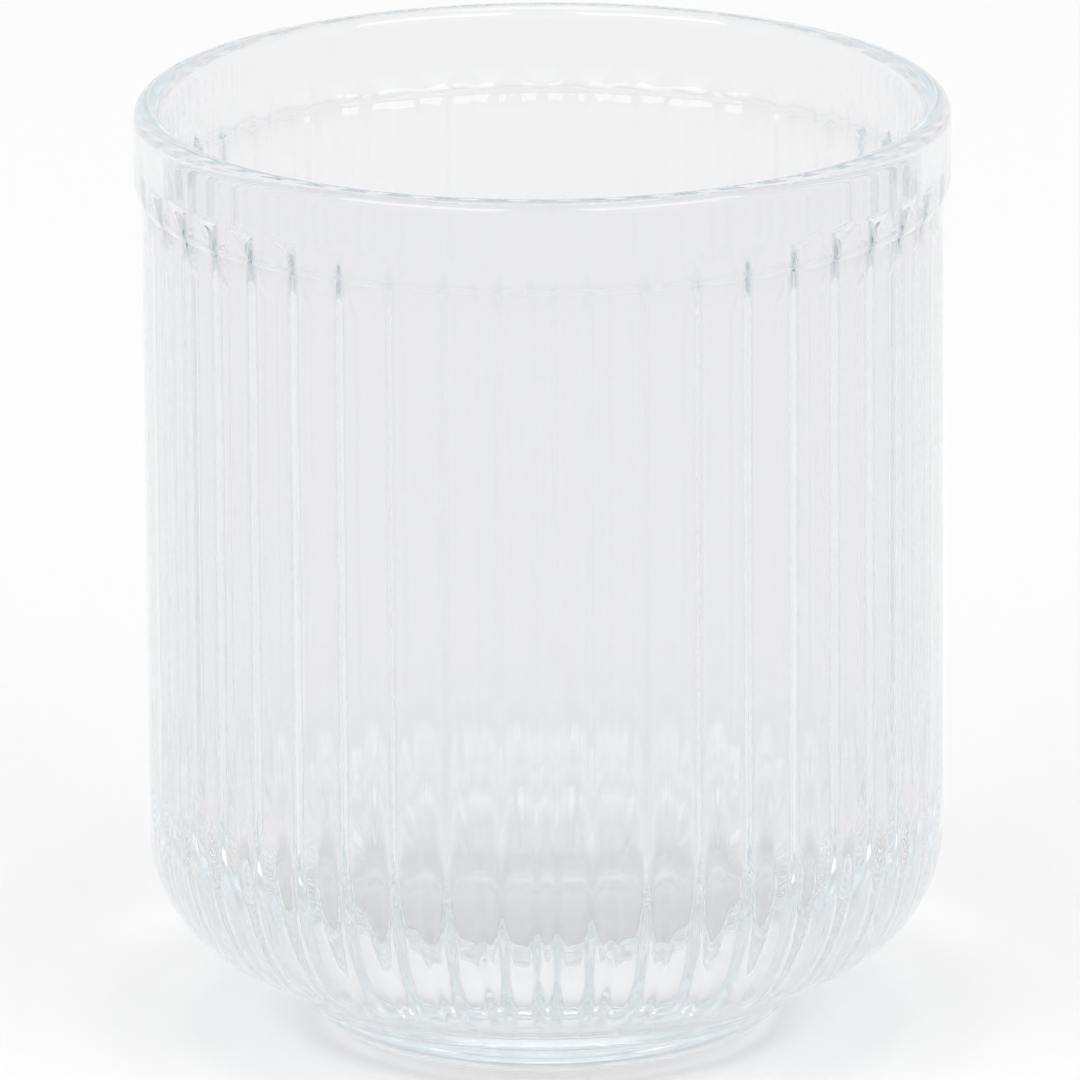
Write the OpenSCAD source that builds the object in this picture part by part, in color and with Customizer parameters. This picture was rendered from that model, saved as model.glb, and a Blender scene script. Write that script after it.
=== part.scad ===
// Chai glass: a straight pressed-glass tumbler with a smooth outside, a proud rim band,
// rounded ribs down the inside, a rounded heel, a thick base and a small round foot.
// The real glass is one pressed piece. It is drawn as the zones that its mould forms,
// stacked on flat planes: lip band, ribbed wall, ribbed heel, lower heel, base and foot.
// Millimetres, +Z up, origin at the centre of the foot's resting face.

/* [Rim] */
// Outside diameter of the rim band
rim_d = 80; // [66:0.5:100]
// Thickness of the glass at the lip
rim_t = 2.8; // [2.2:0.1:3.6]
// Height of the proud band, from the lip down to its lower edge
band_h = 9.4; // [8.4:0.1:14]
// How far the band stands proud of the wall
band_step = 0.7; // [0.3:0.1:1.2]
// Height over which the band eases down to the wall
band_ease_h = 2; // [1:0.1:2.6]

/* [Wall] */
// Overall height of the glass
glass_h = 93.8; // [70:0.2:130]

/* [Ribs] */
// Number of ribs around the inside
rib_count = 44; // [30:2:60]
// Turn of the first rib from the X axis, in degrees
rib_turn = 0; // [0:0.1:12]
// How far a rib stands in from the bore
rib_depth = 0.6; // [0.3:0.05:1.3]
// Plain gap between two ribs at the bore
rib_gap = 2.3; // [0.3:0.1:3]
// Plain height between the lip and the rib tops
rib_drop = 6.5; // [4:0.1:8]
// Height of the sloping end on top of each rib
rib_end_h = 1.9; // [0.8:0.1:3]
// How much further in than the bore's heel each rib's own bend is centred, so it thins out near the floor
rib_runout = 0.4; // [0.2:0.05:2]
// How far round the inside heel each rib runs, in degrees
rib_bend_a = 80; // [60:1:90]

/* [Heel and base] */
// Rounding of the outside heel
heel_r = 12.4; // [8:0.2:14]
// How far below the top of the inside heel the outside heel starts
heel_drop = 6; // [0:0.2:8]
// Slope of the underside between the heel and the foot, in degrees
heel_slope = 30.4; // [24:0.1:36]
// Thickness of the glass under the floor, foot included
base_t = 9.2; // [7:0.1:12]
// Rounding of the inside heel
inner_heel_r = 16.4; // [8:0.2:20]

/* [Foot] */
// Diameter of the foot where it meets the heel
foot_d = 50; // [44:0.5:54]
// Height of the foot
foot_h = 4.1; // [3:0.1:5.5]
// Rounding of the foot's side
foot_edge_r = 7.8; // [6:0.1:10]

/* [Hidden] */

$fn = 96;
glass_tint = [0.86, 0.93, 0.92, 0.6];
// Overrun of every cut past the face that it opens
cut_over = 1;

rim_r = rim_d / 2;
wall_r = rim_r - band_step;
bore_r = rim_r - rim_t;
lip_r = rim_t / 2;
band_low_z = glass_h - band_h;
// Radius of the arc that leaves the band's face upright and meets the wall at the band's lower edge
band_ease_r = (band_step * band_step + band_ease_h * band_ease_h) / (2 * band_step);

rib_top_z = glass_h - rib_drop;
rib_pitch_a = 360 / rib_count;
rib_w = 2 * bore_r * sin(rib_pitch_a / 2) - rib_gap;
// Radius of a rib's round, from its width and its depth
rib_r = (rib_w * rib_w / 4 + rib_depth * rib_depth) / (2 * rib_depth);
crest_r = bore_r - rib_depth;
rib_axis_r = crest_r + rib_r;

foot_r = foot_d / 2;
// Radius of the flat that the glass rests on
foot_flat_r = foot_r - sqrt(foot_edge_r * foot_edge_r - pow(foot_edge_r - foot_h, 2));

// Centre of the inside heel's arc, whose top is where the heel and the wall part
inner_heel_centre_r = bore_r - inner_heel_r;
inner_heel_z = base_t + inner_heel_r;
// How far round the inside heel its upper and lower zones part, in degrees, and the height of that plane
heel_part_a = 45;
heel_part_z = inner_heel_z - inner_heel_r * sin(heel_part_a);

// Centre of the outside heel's arc, which starts lower than the inside one
heel_centre_r = wall_r - heel_r;
heel_centre_z = inner_heel_z - heel_drop;
// Where the sloping underside leaves the heel's arc, and where it reaches the top of the foot
heel_start_r = heel_centre_r + heel_r * sin(heel_slope);
heel_start_z = heel_centre_z - heel_r * cos(heel_slope);
underside_r = heel_start_r - (heel_start_z - foot_h) / tan(heel_slope);
// Centre and radius of the bend of each rib's axis around the inside heel
rib_bend_centre_r = inner_heel_centre_r - rib_runout;
rib_bend_r = rib_axis_r - rib_bend_centre_r;

// Half section of the whole outside, solid to the axis and up to the rib tops
module outside_section() {
    polygon([
        [0, foot_h],
        [underside_r, foot_h],
        [heel_start_r, heel_start_z],
        [heel_centre_r, heel_centre_z],
        [0, heel_centre_z],
    ]);
    translate([heel_centre_r, heel_centre_z])
        circle(heel_r);
    translate([0, heel_centre_z])
        square([wall_r, rib_top_z - heel_centre_z]);
    intersection() {
        translate([rim_r - band_ease_r, band_low_z + band_ease_h])
            circle(band_ease_r);
        square([rim_r, rib_top_z]);
    }
    translate([0, band_low_z + band_ease_h])
        square([rim_r, rib_top_z - band_low_z - band_ease_h]);
}

// The outside between two heights
module outside_zone(low_z, high_z) {
    rotate_extrude()
        intersection() {
            outside_section();
            translate([0, low_z])
                square([rim_r, high_z - low_z]);
        }
}

// Plan of the bore, scalloped by the ribs
module bore_plan() {
    difference() {
        circle(bore_r);
        for (i = [0 : rib_count - 1])
            rotate(rib_turn + i * rib_pitch_a)
                translate([rib_axis_r, 0])
                    circle(rib_r);
    }
}

// One rib bent round the inside heel towards the floor
module bent_rib() {
    translate([rib_bend_centre_r, 0, inner_heel_z])
        rotate([90, 0, 0])
            rotate([0, 0, -rib_bend_a])
                rotate_extrude(angle = rib_bend_a)
                    translate([rib_bend_r, 0])
                        circle(rib_r);
}

// Half section of the bore's heel, from the floor to the wall
module inner_heel_section() {
    translate([0, base_t])
        square([inner_heel_centre_r, inner_heel_r + cut_over]);
    intersection() {
        translate([inner_heel_centre_r, inner_heel_z])
            circle(inner_heel_r);
        translate([inner_heel_centre_r, base_t])
            square(inner_heel_r);
    }
    translate([0, inner_heel_z])
        square([bore_r, cut_over]);
}

// Plain rim above the ribs, with a full-round lip
module lip_band() {
    color(glass_tint)
        rotate_extrude()
            union() {
                translate([bore_r, rib_top_z])
                    square([rim_t, rib_drop - lip_r]);
                translate([bore_r + lip_r, glass_h - lip_r])
                    circle(lip_r);
            }
}

// Straight wall with its ribs, their sloping top ends and the lower part of the proud band
module ribbed_wall() {
    color(glass_tint)
        difference() {
            outside_zone(inner_heel_z, rib_top_z);
            translate([0, 0, inner_heel_z - cut_over])
                linear_extrude(rib_top_z - inner_heel_z + 2 * cut_over)
                    bore_plan();
            translate([0, 0, rib_top_z - rib_end_h])
                cylinder(h = rib_end_h, r1 = crest_r, r2 = bore_r);
        }
}

// The bore's heel, turned to start between two ribs, with the ribs running round it to just above the floor
module heel_bore() {
    difference() {
        rotate([0, 0, rib_turn + rib_pitch_a / 2])
            rotate_extrude()
                inner_heel_section();
        for (i = [0 : rib_count - 1])
            rotate([0, 0, rib_turn + i * rib_pitch_a])
                bent_rib();
    }
}

// Upper half of the rounded heel
module ribbed_heel() {
    color(glass_tint)
        difference() {
            outside_zone(heel_part_z, inner_heel_z);
            heel_bore();
        }
}

// Lower half of the rounded heel, round the floor
module lower_heel() {
    color(glass_tint)
        difference() {
            outside_zone(base_t, heel_part_z);
            heel_bore();
        }
}

// Thick glass between the floor and the foot
module base() {
    color(glass_tint)
        outside_zone(foot_h, base_t);
}

// Small round foot with a flat resting face
module foot() {
    color(glass_tint)
        rotate_extrude()
            intersection() {
                union() {
                    square([foot_flat_r, foot_h]);
                    translate([foot_flat_r, foot_edge_r])
                        circle(foot_edge_r);
                }
                square([foot_r, foot_h]);
            }
}

lip_band();
ribbed_wall();
ribbed_heel();
lower_heel();
base();
foot();
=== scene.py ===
"""A pressed chai glass: one clear skin with ribs down the inside, on a pale floor in soft studio light."""

import bpy
import numpy as np
from mathutils import Matrix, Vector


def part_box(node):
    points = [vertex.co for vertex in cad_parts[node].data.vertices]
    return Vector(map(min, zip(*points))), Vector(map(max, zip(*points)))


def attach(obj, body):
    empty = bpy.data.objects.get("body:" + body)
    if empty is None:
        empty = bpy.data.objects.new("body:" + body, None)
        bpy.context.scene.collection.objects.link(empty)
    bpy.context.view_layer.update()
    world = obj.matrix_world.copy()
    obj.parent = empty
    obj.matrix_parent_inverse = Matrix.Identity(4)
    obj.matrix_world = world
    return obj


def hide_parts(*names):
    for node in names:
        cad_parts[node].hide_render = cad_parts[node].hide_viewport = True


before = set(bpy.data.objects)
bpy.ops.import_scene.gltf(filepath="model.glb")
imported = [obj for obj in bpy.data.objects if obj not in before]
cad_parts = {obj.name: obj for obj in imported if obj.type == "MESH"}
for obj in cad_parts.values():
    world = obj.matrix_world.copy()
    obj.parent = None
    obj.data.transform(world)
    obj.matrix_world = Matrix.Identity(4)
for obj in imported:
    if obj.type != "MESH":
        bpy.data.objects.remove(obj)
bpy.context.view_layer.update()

MM = 0.001

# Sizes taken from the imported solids, in metres
RIM_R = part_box("lip_band")[1].x
GLASS_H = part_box("lip_band")[1].z
RIB_TOP_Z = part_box("lip_band")[0].z
WALL_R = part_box("ribbed_heel")[1].x
INNER_HEEL_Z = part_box("ribbed_heel")[1].z
FLOOR_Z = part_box("base")[1].z
FOOT_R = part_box("foot")[1].x
FOOT_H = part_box("foot")[1].z

# Sizes that the solids' boxes don't show, as the part's own drawing gives them
RIM_T = 2.8 * MM
BAND_H = 9.4 * MM
BAND_EASE_H = 2.0 * MM
RIB_COUNT = 44
RIB_TURN = np.radians(0.0)
RIB_DEPTH = 0.6 * MM
RIB_GAP = 2.3 * MM
RIB_END_H = 1.9 * MM
RIB_RUNOUT = 0.4 * MM
RIB_BEND_A = 80
HEEL_R = 12.4 * MM
HEEL_DROP = 6.0 * MM
FOOT_EDGE_R = 7.8 * MM

# Softening by fire polish: a rib's foot over the drawn width, the power that rounds the corner between
# a rib's crest and its sloping top, the depth of that rounding in heights of the slope, and the degrees
# either side of a rib's lower end over which it tapers off
RIB_EASE = 4 / 3
RIB_TOP_POWER = 4
RIB_TOP_REACH = 2.4
RIB_TAPER_A = 8

# Radius of the ring around each pole, as a share of the flat that it closes
POLE_SHARE = 0.02

# The stage: half the floor's side, its drop below the foot that keeps the two faces apart, and the soft
# boxes' distance from the glass
FLOOR_HALF = 3.0
FLOOR_DROP = 0.05 * MM
BOX_DISTANCE = 6.0

# How often light may bounce, enough for the long ways through the ribs
BOUNCES = 128

# Derived sizes
BORE_R = RIM_R - RIM_T
LIP_R = RIM_T / 2
BAND_LOW_Z = GLASS_H - BAND_H
HEEL_Z = INNER_HEEL_Z - HEEL_DROP
INNER_HEEL_R = INNER_HEEL_Z - FLOOR_Z
INNER_HEEL_CENTRE_R = BORE_R - INNER_HEEL_R


def arc(centre, radius, start, end, count):
    """Points on a circle in the (r, z) half plane: centre + radius * (cos a, sin a), a in degrees."""
    a = np.radians(np.linspace(start, end, count))
    return np.stack([centre[0] + radius * np.cos(a), centre[1] + radius * np.sin(a)], -1)


def line(start, end, count):
    """Points on a straight stretch, closer together near its two ends: t = (1 - cos(pi s)) / 2."""
    t = (1 - np.cos(np.pi * np.linspace(0, 1, count))) / 2
    return np.asarray(start) + t[:, None] * (np.asarray(end) - np.asarray(start))


def outside_profile():
    """The outside in the (r, z) half plane, from the middle of the foot's underside up to the top of the lip.

    A flat disc, the foot's round side, the underside as the tangent from the foot's top to the heel's arc, the
    heel's arc, the upright wall, the ease up to the proud band, the band and the outer quarter of the lip.
    """
    flat_r = FOOT_R - np.sqrt(FOOT_EDGE_R**2 - (FOOT_EDGE_R - FOOT_H) ** 2)
    foot_end = np.degrees(np.arcsin((FOOT_H - FOOT_EDGE_R) / FOOT_EDGE_R))
    to_heel = np.array([WALL_R - HEEL_R - FOOT_R, HEEL_Z - FOOT_H])
    reach = np.hypot(*to_heel)
    slope = np.arctan2(to_heel[1], to_heel[0]) - np.arcsin(HEEL_R / reach)
    heel_start = np.array([WALL_R - HEEL_R * (1 - np.sin(slope)), HEEL_Z - HEEL_R * np.cos(slope)])
    step = RIM_R - WALL_R
    ease_r = (step**2 + BAND_EASE_H**2) / (2 * step)
    ease_end = np.degrees(np.arcsin(BAND_EASE_H / ease_r))
    stretches = [
        line((flat_r * POLE_SHARE, 0), (flat_r, 0), 6)[:-1],
        arc((flat_r, FOOT_EDGE_R), FOOT_EDGE_R, -90, foot_end, 14)[:-1],
        line((FOOT_R, FOOT_H), heel_start, 7)[:-1],
        arc((WALL_R - HEEL_R, HEEL_Z), HEEL_R, np.degrees(slope) - 90, 0, 22)[:-1],
        line((WALL_R, HEEL_Z), (WALL_R, BAND_LOW_Z), 8)[:-1],
        arc((RIM_R - ease_r, BAND_LOW_Z + BAND_EASE_H), ease_r, -ease_end, 0, 9)[:-1],
        line((RIM_R, BAND_LOW_Z + BAND_EASE_H), (RIM_R, GLASS_H - LIP_R), 7)[:-1],
        arc((RIM_R - LIP_R, GLASS_H - LIP_R), LIP_R, 0, 90, 11),
    ]
    return np.concatenate(stretches)


def inside_profile():
    """The bore between the ribs, from the top of the lip to the middle of the floor, and the ribs' height.

    Returns the (r, z) points, the unit normals into the cup, how far the slope on a rib's top lets it stand
    proud, carried on past the crest, and the share of its height that is left: its own wider bend sinks it
    into the heel, and it tapers off either side of the angle where it ends.
    """
    lip = arc((RIM_R - LIP_R, GLASS_H - LIP_R), LIP_R, 90, 180, 11)[1:]
    plain = line((BORE_R, GLASS_H - LIP_R), (BORE_R, RIB_TOP_Z), 6)[1:]
    wall_top = (BORE_R, RIB_TOP_Z - RIB_TOP_REACH * RIB_END_H)
    ends = line((BORE_R, RIB_TOP_Z), wall_top, 14)[1:]
    wall = line(wall_top, (BORE_R, INNER_HEEL_Z), 7)[1:]
    heel = arc((INNER_HEEL_CENTRE_R, INNER_HEEL_Z), INNER_HEEL_R, 0, -90, 28)[1:]
    floor = line((INNER_HEEL_CENTRE_R, FLOOR_Z), (INNER_HEEL_CENTRE_R * POLE_SHARE, FLOOR_Z), 7)[1:]
    points = np.concatenate([lip, plain, ends, wall, heel, floor])
    steps = np.gradient(points, axis=0)
    normals = np.stack([steps[:, 1], -steps[:, 0]], -1)
    normals /= np.linalg.norm(normals, axis=1)[:, None]
    cap = np.clip((RIB_TOP_Z - points[:, 1]) / RIB_END_H, 0, RIB_TOP_REACH + 1)
    below = np.clip((INNER_HEEL_Z - points[:, 1]) / INNER_HEEL_R, 0, 1)
    bend_r = INNER_HEEL_R - RIB_DEPTH + RIB_RUNOUT
    crest = np.sqrt(bend_r**2 - (RIB_RUNOUT * below) ** 2) - RIB_RUNOUT * np.sqrt(1 - below**2)
    taper = np.clip((RIB_BEND_A + RIB_TAPER_A - np.degrees(np.arcsin(below))) / (2 * RIB_TAPER_A), 0, 1)
    left = np.clip((INNER_HEEL_R - crest) / RIB_DEPTH, 0, 1) * taper
    return points, normals, cap * RIB_DEPTH, left


def rib_section(turns):
    """Height of the ribs around the bore, 0 in a gap and 1 on a crest.

    A cosine hump, wider at its fire-polished foot than the plain arc of the drawing: (1 + cos(pi s)) / 2,
    where s runs from 0 on the crest to 1 at the foot.
    """
    across = (turns + 0.5) % 1 - 0.5
    half_width = RIB_EASE * (0.5 - RIB_GAP * RIB_COUNT / (4 * np.pi * BORE_R))
    return (1 + np.cos(np.pi * np.clip(across / half_width, -1, 1))) / 2


def turned(r, z, angles):
    """Rows of points at radius r and height z, turned to these angles about the axis."""
    return np.stack([r * np.cos(angles), r * np.sin(angles), np.broadcast_to(z, r.shape)], -1)


def bands(first, rows, columns):
    """Four-sided faces between the neighbouring rows of a turned grid, closed at the seam."""
    i, j = np.meshgrid(np.arange(rows - 1), np.arange(columns), indexing="ij")
    low, k = first + i * columns, (j + 1) % columns
    corners = np.stack([low + j, low + k, low + columns + k, low + columns + j], -1)
    return corners.reshape(-1, 4).tolist()


def fan(pole, first, columns, way):
    """Three-sided faces from a pole to the row around it, taken forwards or backwards."""
    j = np.arange(columns)
    return np.stack([np.full(columns, pole), first + j, first + (j + way) % columns], -1).tolist()


def glass_skin(columns_per_rib=24, step=3):
    """The closed skin of the glass: the outside turned about the axis, the bore turned and pushed by the ribs.

    Point (i, j) lies on profile point i at angle a_j. On the bore it moves along the profile's normal by a
    rounded minimum of the rib's section s and the slope t that ends the rib at its top,
    s t / (s^p + t^p)^(1/p), times the share left round the heel. The smooth outside has one column for every
    few of the bore, and many-sided faces join the two at the top of the lip.
    """
    columns = RIB_COUNT * columns_per_rib
    angles = 2 * np.pi * np.arange(columns) / columns
    section = rib_section(RIB_COUNT * (angles - RIB_TURN) / (2 * np.pi))
    outside = outside_profile()
    bore, normals, cap, left = inside_profile()
    rise, limit = section[None, :] * RIB_DEPTH, cap[:, None]
    corner = (rise**RIB_TOP_POWER + limit**RIB_TOP_POWER) ** (1 / RIB_TOP_POWER)
    height = rise * limit / np.maximum(corner, np.finfo(float).tiny) * left[:, None]
    outer = turned(np.repeat(outside[:, :1], columns // step, 1), outside[:, 1:], angles[::step])
    inner = turned(bore[:, :1] + normals[:, :1] * height, bore[:, 1:] + normals[:, 1:] * height, angles)
    poles = [[0, 0, 0], [0, 0, FLOOR_Z]]
    points = np.concatenate([outer.reshape(-1, 3), inner.reshape(-1, 3), poles])
    sides = columns // step
    first = len(outside) * sides
    j = np.arange(sides)
    top = np.stack([first - sides + j, first - sides + (j + 1) % sides], -1)
    under_lip = first + (step * j[:, None] + np.arange(step, -1, -1)) % columns
    faces = bands(0, len(outside), sides) + bands(first, len(bore), columns)
    faces += np.concatenate([top, under_lip], -1).tolist()
    under, floor = len(points) - 2, len(points) - 1
    faces += fan(under, 0, sides, -1) + fan(floor, under - columns, columns, 1)
    mesh = bpy.data.meshes.new("glass_skin")
    mesh.from_pydata(points.tolist(), [], faces)
    mesh.polygons.foreach_set("use_smooth", np.ones(len(mesh.polygons), bool))
    mesh.update()
    piece = bpy.data.objects.new("glass_body", mesh)
    bpy.context.scene.collection.objects.link(piece)
    return piece


def linear(code):
    """An sRGB hex colour as linear red, green, blue and alpha."""
    value = np.array([int(code[i:i + 2], 16) for i in (1, 3, 5)]) / 255
    low = value / 12.92
    high = ((value + 0.055) / 1.055) ** 2.4
    return (*np.where(value <= 0.04045, low, high).tolist(), 1.0)


def add(tree, kind, links=(), **settings):
    """Adds a node of this kind, sets its sockets by name, and links (socket, source) pairs into it."""
    made = tree.nodes.new(kind)
    for name, value in settings.items():
        made.inputs[name.replace("_", " ")].default_value = value
    for name, source in links:
        tree.links.new(source, made.inputs[name])
    return made


def pressed_glass():
    """Soda-lime glass, pressed and fire polished: clear, bright-edged, faintly green-blue where thick."""
    material = bpy.data.materials.new("soda_lime_glass_pressed")
    material.use_nodes = True
    tree = material.node_tree
    tree.nodes.clear()
    surface = add(tree, "ShaderNodeBsdfPrincipled", Base_Color=linear("#F5F5F6"), Roughness=0.0,
                  IOR=1.52, Transmission_Weight=1.0)
    depth = add(tree, "ShaderNodeVolumeAbsorption", Color=linear("#BED2D8"), Density=4.6)
    out = add(tree, "ShaderNodeOutputMaterial")
    tree.links.new(surface.outputs["BSDF"], out.inputs["Surface"])
    tree.links.new(depth.outputs["Volume"], out.inputs["Volume"])
    return material


def plain_floor():
    """A wide pale floor just under the foot, matt white."""
    half = FLOOR_HALF
    z = -FLOOR_DROP
    mesh = bpy.data.meshes.new("floor")
    corners = [(-half, -half, z), (half, -half, z), (half, half, z), (-half, half, z)]
    mesh.from_pydata(corners, [], [(0, 1, 2, 3)])
    floor = bpy.data.objects.new("floor", mesh)
    bpy.context.scene.collection.objects.link(floor)
    material = bpy.data.materials.new("matt_white_paper")
    material.use_nodes = True
    shader = material.node_tree.nodes["Principled BSDF"]
    shader.inputs["Base Color"].default_value = (0.8, 0.8, 0.8, 1)
    shader.inputs["Roughness"].default_value = 0.9
    shader.inputs["Specular IOR Level"].default_value = 0.0
    mesh.materials.append(material)


def soft_box(name, azimuth, elevation, width, height, radiance):
    """A soft box: an area light facing the glass from this azimuth (0 is the camera's side) and elevation."""
    light = bpy.data.lights.new(name, "AREA")
    light.shape = "RECTANGLE"
    light.size = width
    light.size_y = height
    light.energy = radiance * np.pi * width * height
    box = bpy.data.objects.new(name, light)
    a, e = np.radians(azimuth), np.radians(elevation)
    place = BOX_DISTANCE * np.array([np.sin(a) * np.cos(e), -np.cos(a) * np.cos(e), np.sin(e)])
    box.matrix_world = (
        Matrix.Translation(place.tolist())
        @ Matrix.Rotation(a, 4, "Z")
        @ Matrix.Rotation(np.pi / 2 - e, 4, "X")
    )
    bpy.context.scene.collection.objects.link(box)


def studio():
    """Pale surroundings, brightest in front and dimmer overhead and at the sides, with three soft boxes."""
    world = bpy.data.worlds.new("studio")
    bpy.context.scene.world = world
    world.use_nodes = True
    tree = world.node_tree
    tree.nodes.clear()
    place = add(tree, "ShaderNodeTexCoord")
    split = add(tree, "ShaderNodeSeparateXYZ", [("Vector", place.outputs["Generated"])])
    ramp = add(tree, "ShaderNodeValToRGB", [("Fac", split.outputs["Z"])])
    ramp.color_ramp.elements[0].position = 0.25
    ramp.color_ramp.elements[0].color = linear("#FFFFFF")
    ramp.color_ramp.elements[1].position = 0.75
    ramp.color_ramp.elements[1].color = linear("#DCDCDC")
    aside = add(tree, "ShaderNodeMath", [(0, split.outputs["X"])])
    aside.operation = "ABSOLUTE"
    sides = add(tree, "ShaderNodeMapRange", [("Value", aside.outputs["Value"])],
                From_Min=0.55, From_Max=0.95, To_Min=1.0, To_Max=0.8)
    front = add(tree, "ShaderNodeMapRange", [("Value", split.outputs["Y"])],
                From_Min=-0.2, From_Max=0.5, To_Min=1.25, To_Max=0.93)
    both = add(tree, "ShaderNodeMath", [(0, sides.outputs["Result"]), (1, front.outputs["Result"])])
    both.operation = "MULTIPLY"
    sky = add(tree, "ShaderNodeBackground",
              [("Color", ramp.outputs["Color"]), ("Strength", both.outputs["Value"])])
    out = add(tree, "ShaderNodeOutputWorld")
    tree.links.new(sky.outputs["Background"], out.inputs["Surface"])
    soft_box("soft_box_left", azimuth=-38, elevation=40, width=4.6, height=2.2, radiance=2.5)
    soft_box("soft_box_right", azimuth=38, elevation=40, width=4.6, height=2.2, radiance=2.5)
    soft_box("soft_box_over", azimuth=0, elevation=90, width=3.0, height=3.0, radiance=1.8)


def camera():
    """The photograph's view: far off, a little above, looking down at the glass."""
    distance, height, pitch, roll, yaw = 1.400, 0.454, 16.14, 0.36, 0.019
    focal_pixels, frame_pixels, sensor = 14773, 1080, 36.0
    data = bpy.data.cameras.new("camera")
    data.sensor_width = sensor
    data.lens = focal_pixels / frame_pixels * sensor
    data.clip_end = 20
    made = bpy.data.objects.new("camera", data)
    made.matrix_world = (
        Matrix.Translation((0, -distance, height))
        @ Matrix.Rotation(np.radians(yaw), 4, "Z")
        @ Matrix.Rotation(np.radians(90 - pitch), 4, "X")
        @ Matrix.Rotation(np.radians(-roll), 4, "Z")
    )
    bpy.context.scene.collection.objects.link(made)
    bpy.context.scene.camera = made


scene = bpy.context.scene
scene.view_settings.view_transform = "Standard"
scene.cycles.blur_glossy = 0.0
scene.cycles.max_bounces = BOUNCES
scene.cycles.transmission_bounces = BOUNCES
scene.cycles.glossy_bounces = BOUNCES

glass = glass_skin()
glass.data.materials.append(pressed_glass())
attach(glass, "root")
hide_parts("lip_band", "ribbed_wall", "ribbed_heel", "lower_heel", "base", "foot")
plain_floor()
studio()
camera()
